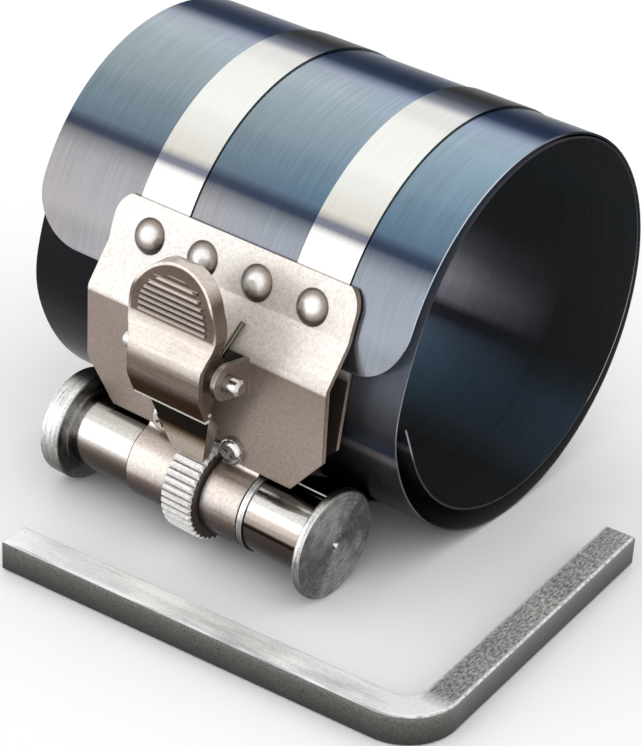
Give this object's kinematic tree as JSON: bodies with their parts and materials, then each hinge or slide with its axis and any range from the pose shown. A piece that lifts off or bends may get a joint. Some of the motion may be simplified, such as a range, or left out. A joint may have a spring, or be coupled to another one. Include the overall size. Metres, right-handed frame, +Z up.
{
  "type": "piston ring compressor",
  "caption": "Wound spring-steel sleeve with ratchet-tightened bands that squeezes piston rings flush so a piston can slide into its cylinder, with a loose square key.",
  "frame": {"origin": "centre of the round bore that takes the piston, half way along the sleeve", "axes": "+X along the bore towards the open end that the picture shows, -Y towards the ratchet mechanism, +Z up from the surface it lies on"},
  "size_m": [0.11, 0.1084, 0.0726],
  "materials": {
    "blued_spring_steel": "blued and brushed",
    "band_steel": "bright satin",
    "nickel_plate": "satin nickel plate",
    "rivet_nickel": "polished",
    "screw_zinc": "bright zinc",
    "lever_nickel": "satin nickel plate",
    "spring_wire": "drawn",
    "turned_steel": "turned",
    "wheel_nickel": "bright",
    "key_zinc": "bright zinc plate"
  },
  "bodies": {
    "tool": {"compression_sleeve": "blued_spring_steel", "left_tension_band": "band_steel", "right_tension_band": "band_steel", "front_plate": "nickel_plate", "back_plate": "nickel_plate", "plate_rivets": "rivet_nickel", "clamp_screws": "screw_zinc", "clamp_nuts": "screw_zinc", "pivot_pin": "screw_zinc", "pawl_spring": "spring_wire"},
    "shaft": {"winding_shaft": "turned_steel", "left_drive_head": "turned_steel", "right_head": "turned_steel", "ratchet_wheel": "wheel_nickel", "left_band_winding": "band_steel", "right_band_winding": "band_steel", "left_collar": "turned_steel", "right_washer": "turned_steel"},
    "lever": {"pawl_lever": "lever_nickel", "thumb_cover": "lever_nickel"},
    "key": {"square_key": "key_zinc"}
  },
  "joints": [
    {"name": "shaft_turn", "type": "hinge", "parent": "tool", "child": "shaft", "pos_m": [0, -0.0413, -0.02757], "axis": [1, 0, 0], "range_deg": [-1440, 555]},
    {"name": "lever_swing", "type": "hinge", "parent": "tool", "child": "lever", "pos_m": [0.0049, -0.0482, -0.00115], "axis": [-1, 0, 0], "range_deg": [0, 14], "stiffness_Nm_per_rad": 0.3, "springref_deg": -11.46, "deforming": ["pawl_spring"]},
    {"name": "key_lift", "type": "slide", "parent": "tool", "child": "key", "axis": [0, 0, 1], "range_m": [0, 0.02]}
  ]
}
